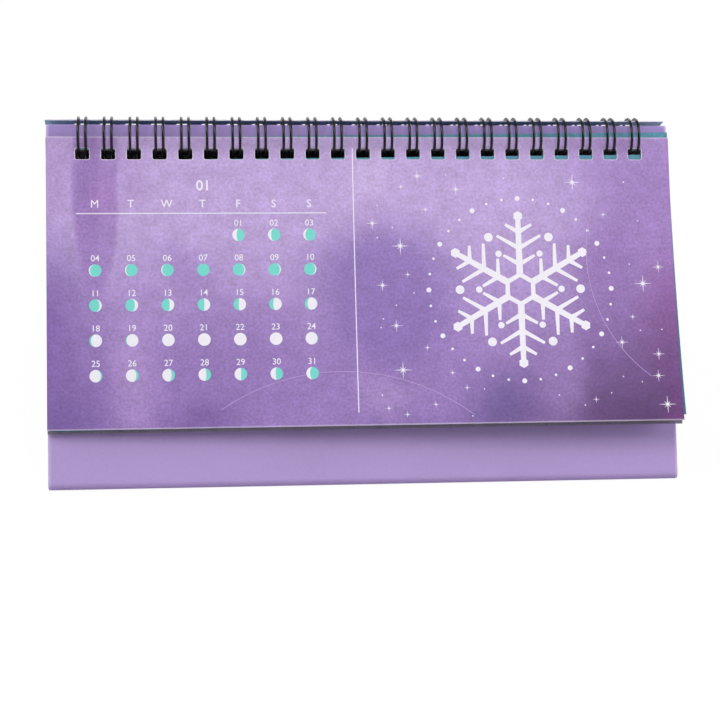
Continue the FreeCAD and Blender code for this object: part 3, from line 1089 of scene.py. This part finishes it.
@dataclass(frozen=True)
class SnowCrystal:
    """A six-armed snow crystal of bars and dots, with a ring of dots round it.

    Where an arm starts, and where its twigs and the drops between the arms stand, are
    shares of the crystal's reach.
    """

    middle: Point = (157.0, 52.0)
    reach: float = 25.0
    arms: int = 6
    hub: float = 0.2
    hub_bar: float = 1.5
    arm_start: float = 0.18
    arm_bar: float = 2.3
    arm_taper: float = 0.75
    knob: float = 1.7
    twigs: tuple[Point, ...] = ((0.34, 6.2), (0.56, 8.6), (0.78, 5.2))
    twig_turn: float = 60.0
    twig_bar: float = 1.55
    twig_taper: float = 0.6
    drops: tuple[Point, ...] = ((0.56, 1.1), (0.82, 1.5))
    drop_sides: int = 18
    ring_gap: float = 6.0
    ring_dots: int = 36
    ring_sides: int = 12
    large_dot: float = 0.85
    small_dot: float = 0.45
    dots_to_a_large_one: int = 3

    def outlines(self) -> list[list[Point]]:
        """Draws the hub, the arms and the ring of dots.

        Returns:
            The outlines, which overlap.
        """
        half_turn = 180 / self.arms
        corners = polygon(*self.middle, self.reach * self.hub, self.arms, math.radians(half_turn))
        drawn = [band(corners[i - 1], corners[i], self.hub_bar) for i in range(self.arms)]
        for arm in range(self.arms):
            drawn += self._arm(math.radians(2 * half_turn * arm + half_turn), math.radians(half_turn))
        for number in range(self.ring_dots):
            spot = self._spot(math.radians(360 / self.ring_dots * number), self.reach + self.ring_gap)
            large = number % self.dots_to_a_large_one == 0
            drawn.append(polygon(*spot, self.large_dot if large else self.small_dot, self.ring_sides))
        return drawn

    def _spot(self, angle: float, reach: float) -> Vector:
        """Finds a place at an angle and a distance from the middle."""
        return Vector(self.middle) + Vector((math.cos(angle), math.sin(angle))) * reach

    def _arm(self, angle: float, half_turn: float) -> list[list[Point]]:
        """Draws one arm and the drops beside it.

        Args:
            angle: The arm's angle in radians.
            half_turn: Half the angle between two arms.

        Returns:
            The outlines.
        """
        tip = self._spot(angle, self.reach)
        root = self._spot(angle, self.reach * self.arm_start)
        drawn = [band(tuple(root), tuple(tip), self.arm_bar, taper=self.arm_taper),
                 polygon(*tip, self.knob, self.arms, angle)]
        for share, length in self.twigs:
            root = self._spot(angle, self.reach * share)
            for turn in (-self.twig_turn, self.twig_turn):
                twig = angle + math.radians(turn)
                end = root + Vector((math.cos(twig), math.sin(twig))) * length
                drawn.append(band(tuple(root), tuple(end), self.twig_bar, taper=self.twig_taper))
        for share, radius in self.drops:
            drawn.append(polygon(*self._spot(angle + half_turn, self.reach * share), radius,
                                 self.drop_sides))
        return drawn


@dataclass(frozen=True)
class StarField:
    """Small stars and dots scattered over a field, none of them touching another."""

    seed: int = 11
    across: Point = (107.5, 206.5)
    down: Point = (12.0, 94.5)
    sizes: tuple[tuple[float, int], ...] = ((2.9, 5), (2.1, 9), (1.25, 12), (0.0, 22))
    tries: int = 80
    gap: float = 2.6
    rays: int = 8
    short_ray: float = 0.5
    ray_width: float = 0.13
    ray_taper: float = 0.15
    core: float = 0.16
    core_sides: int = 10
    dot: float = 0.24
    dot_sides: int = 8

    def outlines(self, middle: Point, radius: float) -> list[list[Point]]:
        """Scatters the stars outside a circle.

        Args:
            middle: The circle's middle.
            radius: Its radius.

        Returns:
            The outlines.
        """
        chance = random.Random(self.seed)
        taken = [(*middle, radius)]
        drawn = []
        for size in [size for size, count in self.sizes for _ in range(count)]:
            for _ in range(self.tries):
                across, down = chance.uniform(*self.across), chance.uniform(*self.down)
                room = size + self.gap
                if all(math.hypot(across - x, down - y) > r + room for x, y, r in taken):
                    taken.append((across, down, size))
                    drawn += self._star(across, down, size)
                    break
        return drawn

    def _star(self, across: float, down: float, size: float) -> list[list[Point]]:
        """Draws one star of thin rays, or a dot where the size is nothing.

        Args:
            across: Its middle, across.
            down: Its middle, down.
            size: How far its long rays reach.

        Returns:
            The outlines.
        """
        if size <= 0:
            return [polygon(across, down, self.dot, self.dot_sides)]
        drawn = [polygon(across, down, size * self.core, self.core_sides)]
        for ray in range(self.rays):
            angle = ray * 2 * math.pi / self.rays
            length = size if ray % 2 == 0 else size * self.short_ray
            end = (across + length * math.cos(angle), down + length * math.sin(angle))
            drawn.append(band((across, down), end, size * self.ray_width, taper=self.ray_taper))
        return drawn


@dataclass
class MonthPrint:
    """What is printed on the leaf: a month of numbered days with moons, and a snow crystal.

    A letter in unbolded keeps its thin strokes, because bolder ones would fill it in.
    """

    sheet: Sheet
    materials: dict[str, bpy.types.Material]
    columns: Point = (15.8, 86.5)
    rows: Point = (28.9, 75.3)
    weekdays: str = "MTWTFSS"
    weeks: int = 5
    days: int = 31
    first_column: int = 4
    title: str = "01"
    title_place: Point = (51.5, 18.0)
    title_type: Lettering = Lettering(4.9, 0.05)
    weekday_down: float = 23.7
    weekday_type: Lettering = Lettering(3.7, 0.02)
    unbolded: str = "M"
    number_drop: float = 1.05
    number_type: Lettering = Lettering(2.95, 0.008)
    curve_steps: int = 3
    new_moon_day: float = 7.0
    moon_cycle: float = 29.5
    least_lit: float = 0.09
    full_from: float = 0.97
    moon_radius: float = 2.05
    moon_sides: int = 28
    lit_spread: float = 1.02
    moon_drop: float = 4.1
    sunk: float = 0.012
    proud: float = 0.02
    weekday_rule: tuple[Point, Point, float] = ((9.7, 25.7), (92.3, 25.7), 0.3)
    middle_rule: tuple[Point, Point, float] = ((101.4, 3.8), (101.4, 92.7), 0.32)
    arcs: tuple[tuple[float, ...], ...] = (
        (96.0, 150.0, 71.0, -124.0, -52.0),
        (232.0, 41.0, 52.0, 128.0, 206.0),
    )
    arc_width: float = 0.18
    arc_step: float = 2.0
    crystal: SnowCrystal = SnowCrystal()
    stars: StarField = StarField()
    crystal_clearance: float = 8.0

    def place(self, column: int, row: int) -> Point:
        """Finds where a day's number stands.

        Args:
            column: The weekday's column, from 0.
            row: The week's row, from 0.

        Returns:
            The middle of its place.
        """
        across = self.columns[0] + (self.columns[1] - self.columns[0]) * column / (len(self.weekdays) - 1)
        down = self.rows[0] + (self.rows[1] - self.rows[0]) * row / (self.weeks - 1)
        return across, down

    def day_place(self, day: int) -> Point:
        """Finds where the number of a day stands."""
        row, column = divmod(self.first_column + day - 1, len(self.weekdays))
        return self.place(column, row)

    def stamp(self, name: str, outlines: list[list[Point]], ink: str, layer: int = 0) -> None:
        """Prints filled outlines.

        Args:
            name: The piece's name.
            outlines: The outlines, joined where they overlap.
            ink: Which ink.
            layer: How many layers of ink lie under it.
        """
        mesh = bmesh.new()
        high = self.proud * (1 + layer)
        self.sheet.shell(mesh, Flat.filled(outlines), -self.sunk, high, (0, 0, 0))
        piece = finish_mesh(name, mesh, [self.materials[ink]], "front_leaf")

    def letters(self) -> None:
        """Prints the day numbers, the weekday initials and the month's number."""
        mesh = bmesh.new()
        self._word(mesh, self.title, self.title_place, self.title_type)
        thin = replace(self.weekday_type, weight=0.0)
        for column, initial in enumerate(self.weekdays):
            across, _ = self.place(column, 0)
            lettering = thin if initial in self.unbolded else self.weekday_type
            self._word(mesh, initial, (across, self.weekday_down), lettering)
        for day in range(1, self.days + 1):
            across, down = self.day_place(day)
            self._word(mesh, f"{day:02d}", (across, down + self.number_drop), self.number_type)
        piece = finish_mesh("printed_numbers", mesh, [self.materials["white"]], "front_leaf")

    def _word(self, mesh: bmesh.types.BMesh, text: str, place: Point, lettering: Lettering) -> None:
        """Prints one word.

        Args:
            mesh: The mesh that it is added to.
            text: The word.
            place: The middle of its base line.
            lettering: How it is set.
        """
        curve = bpy.data.curves.new("type", "FONT")
        curve.body = text
        curve.size = lettering.size
        curve.align_x = "CENTER"
        curve.extrude = (self.sunk + self.proud) / 2
        curve.offset = lettering.weight
        curve.resolution_u = self.curve_steps
        setter = bpy.data.objects.new("type", curve)
        bpy.context.scene.collection.objects.link(setter)
        bpy.context.view_layer.update()
        seen = setter.evaluated_get(bpy.context.evaluated_depsgraph_get())
        shape = bpy.data.meshes.new_from_object(seen)
        bpy.data.objects.remove(setter)
        level = (self.proud - self.sunk) / 2
        made = []
        for vertex in shape.vertices:
            x, y, z = vertex.co
            made.append(mesh.verts.new(self.sheet.point(place[0] + x, place[1] - y, z + level)))
        for face in shape.polygons:
            mesh.faces.new([made[i] for i in face.vertices])
        bpy.data.meshes.remove(shape)

    def moons(self) -> None:
        """Prints each day's moon: a mint disc, and its lit part in white."""
        discs, lit = [], []
        for day in range(1, self.days + 1):
            across, down = self.day_place(day)
            down += self.moon_drop
            discs.append(polygon(across, down, self.moon_radius, self.moon_sides))
            part = self._lit_part(across, down, day)
            if part:
                lit.append(part)
        self.stamp("printed_moons_dark", discs, "mint")
        self.stamp("printed_moons_lit", lit, "white", layer=1)

    def _lit_part(self, across: float, down: float, day: int) -> list[Point]:
        """Draws the lit part of a day's moon.

        Args:
            across: The moon's middle, across.
            down: The moon's middle, down.
            day: The day.

        Returns:
            Its outline, or none at the new moon.
        """
        if day == round(self.new_moon_day):
            return []
        phase = 2 * math.pi * (day - self.new_moon_day) / self.moon_cycle
        share = max((1 - math.cos(phase)) / 2, self.least_lit)
        radius = self.moon_radius * self.lit_spread
        if share > self.full_from:
            return polygon(across, down, radius, self.moon_sides)
        side = 1 if math.sin(phase) > 0 else -1
        half = self.moon_sides // 2
        steps = [math.pi * (i / half - 0.5) for i in range(half + 1)]
        rim = [(across + side * radius * math.cos(a), down + radius * math.sin(a)) for a in steps]
        middle = [(across + side * radius * math.cos(a) * (1 - 2 * share), down + radius * math.sin(a))
                  for a in steps[1:-1]]
        return rim + middle[::-1]

    def rules(self) -> None:
        """Prints the line under the weekdays and the line between the leaf's two halves."""
        self.stamp("printed_rules", [band(*self.weekday_rule), band(*self.middle_rule)], "white")

    def orbits(self) -> None:
        """Prints two hairline arcs that sweep across the sky behind the stars."""
        drawn = []
        for across, down, radius, start, end in self.arcs:
            count = round(abs(end - start) / self.arc_step)
            angles = [math.radians(start + (end - start) * i / count) for i in range(count + 1)]
            rims = [[(across + r * math.cos(a), down + r * math.sin(a)) for a in angles]
                    for r in (radius - self.arc_width / 2, radius + self.arc_width / 2)]
            drawn.append(rims[0] + rims[1][::-1])
        self.stamp("printed_orbits", drawn, "hairline")

    def snow_crystal(self) -> None:
        """Prints the large crystal with its ring of dots."""
        self.stamp("printed_crystal", self.crystal.outlines(), "white")

    def sparkles(self) -> None:
        """Prints the stars over the half with the crystal."""
        room = self.crystal.reach + self.crystal_clearance
        self.stamp("printed_sparkles", self.stars.outlines(self.crystal.middle, room), "white")


# ---- camera, light and floor ---------------------------------------------------------


@dataclass(frozen=True)
class Lamp:
    """One soft square lamp that faces the calendar, in metres and watts."""

    name: str
    place: tuple[float, float, float]
    size: float
    power: float
    target: tuple[float, float, float] = (0.0, 0.0, 0.05)

    def hang(self) -> None:
        """Adds the lamp to the scene."""
        data = bpy.data.lights.new(self.name, "AREA")
        data.size = self.size
        data.energy = self.power
        lamp = bpy.data.objects.new(self.name, data)
        lamp.location = self.place
        way = Vector(self.target) - Vector(self.place)
        lamp.rotation_euler = way.to_track_quat("-Z", "Y").to_euler()
        bpy.context.scene.collection.objects.link(lamp)


@dataclass
class Studio:
    """A pale table, soft lamps and the camera.

    The camera's aim and distance are in millimetres, its turns in degrees, and the table's
    reach and its gap under the calendar in metres.
    """

    aim: tuple[float, float, float] = (1.1, -12.9, 23.6)
    distance: float = 622.4
    heading: float = 6.93
    pitch: float = 25.67
    roll: float = 2.33
    lens: float = 88.85
    sensor: float = 36.0
    nearest: float = 0.01
    lamps: tuple[Lamp, ...] = (
        Lamp("left", (-1.0, -0.1, 1.3), 0.8, 11.5),
        Lamp("right", (1.15, -0.4, 0.7), 0.9, 9.5),
        Lamp("top", (0.0, -0.68, 1.55), 0.75, 10.4),
        Lamp("front", (0.0, -1.5, 0.3), 0.8, 1.5),
        Lamp("rear", (0.0, 1.5, 0.9), 1.0, 8.0),
    )
    table: float = 3.0
    table_gap: float = 0.0001
    paint: str = "#DAD9DE"
    paint_roughness: float = 0.9
    paleness: float = 0.93
    glow: float = 1.03
    world_strength: float = 0.07
    mirrored_strength: float = 0.5

    def camera(self) -> None:
        """Sets the camera in front of the calendar, a little above it and to its left."""
        heading, pitch, roll = (math.radians(v) for v in (self.heading, self.pitch, self.roll))
        forward = Vector((math.sin(heading) * math.cos(pitch), math.cos(heading) * math.cos(pitch),
                          -math.sin(pitch)))
        level = forward.cross(Vector((0, 0, 1))).normalized()
        above = level.cross(forward)
        right = level * math.cos(roll) + above * math.sin(roll)
        upright = right.cross(forward)
        data = bpy.data.cameras.new("camera")
        data.lens = self.lens
        data.sensor_width = self.sensor
        data.clip_start = self.nearest
        camera = bpy.data.objects.new("camera", data)
        turned = Matrix((right, upright, -forward)).transposed().to_4x4()
        turned.translation = (Vector(self.aim) - forward * self.distance) * MM
        camera.matrix_world = turned
        bpy.context.scene.collection.objects.link(camera)
        bpy.context.scene.camera = camera

    def floor(self) -> None:
        """Lays the pale table under the calendar."""
        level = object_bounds()[0].z - self.table_gap
        mesh = bmesh.new()
        corners = [mesh.verts.new((x * self.table, y * self.table, level))
                   for x, y in ((-1, -1), (1, -1), (1, 1), (-1, 1))]
        mesh.faces.new(corners)
        data = bpy.data.meshes.new("table")
        mesh.to_mesh(data)
        mesh.free()
        material, tree, shader = new_material("matt_table_paint")
        shader.inputs["Base Color"].default_value = linear(self.paint)
        shader.inputs["Roughness"].default_value = self.paint_roughness
        path = add(tree, "LightPath")
        share = add(tree, "Math", {0: path.outputs["Is Camera Ray"], 1: self.paleness},
                    operation="MULTIPLY")
        glow = add(tree, "Emission", {"Color": (1, 1, 1, 1), "Strength": self.glow})
        both = add(tree, "MixShader", {0: share.outputs[0], 1: shader.outputs[0], 2: glow.outputs[0]})
        output = next(node for node in tree.nodes if node.type == "OUTPUT_MATERIAL")
        tree.links.new(both.outputs[0], output.inputs["Surface"])
        data.materials.append(material)
        table = bpy.data.objects.new("table", data)
        bpy.context.scene.collection.objects.link(table)
        table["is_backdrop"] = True

    def world(self) -> None:
        """Sets the plain pale surroundings."""
        world = bpy.data.worlds.new("studio")
        bpy.context.scene.world = world
        world.use_nodes = True
        tree = world.node_tree
        tree.nodes.clear()
        path = add(tree, "LightPath")
        mirrored = add(tree, "MapRange", {
            0: path.outputs["Is Glossy Ray"], 3: self.world_strength, 4: self.mirrored_strength})
        strength = add(tree, "Math", {0: path.outputs["Is Camera Ray"], 1: mirrored.outputs[0]},
                       operation="MAXIMUM")
        background = add(tree, "Background", {"Color": (1, 1, 1, 1), "Strength": strength.outputs[0]})
        add(tree, "OutputWorld", {"Surface": background.outputs[0]})

    def build(self) -> None:
        """Sets everything round the calendar."""
        self.floor()
        self.world()
        for lamp in self.lamps:
            lamp.hang()
        self.camera()
        bpy.context.scene.view_settings.view_transform = "Standard"


# ---- build ---------------------------------------------------------------------------


def main() -> None:
    """Builds the calendar's looks in the order in which it is put together."""
    logging.basicConfig(level=logging.INFO, format="%(name)s %(message)s")
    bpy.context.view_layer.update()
    dress("cover_wrap", FilmedWrap().build())
    board = GREYBOARD.build()
    for node in ("front_board", "back_board", "base_board_front", "base_board_rear"):
        dress(node, board)
    dress("lining_sheet", SHADED_LINING.build())
    dress("wire_binding", NylonWire().build())
    finishes = {
        "violet": VIOLET_WASH, "plain": PLAIN_WASH, "teal": TEAL_WASH, "slate": SLATE_WASH,
        "petrol": PETROL_WASH, "inner": INNER_WASH, "cut": CUT_PAPER, "heap": HEAP_EDGE,
        "white": WHITE_INK, "hairline": HAIRLINE_INK, "mint": MINT_INK,
    }
    materials = {name: finish.build() for name, finish in finishes.items()}
    leaves = Leaves(LeaningPlane.of("front_board", -1), materials)
    leaves.heap()
    leaves.next_leaf()
    show = leaves.show_leaf()
    leaves.cover()
    month = MonthPrint(show, materials)
    month.letters()
    month.moons()
    month.rules()
    month.orbits()
    month.snow_crystal()
    month.sparkles()
    Studio().build()


if __name__ == "__main__":
    main()
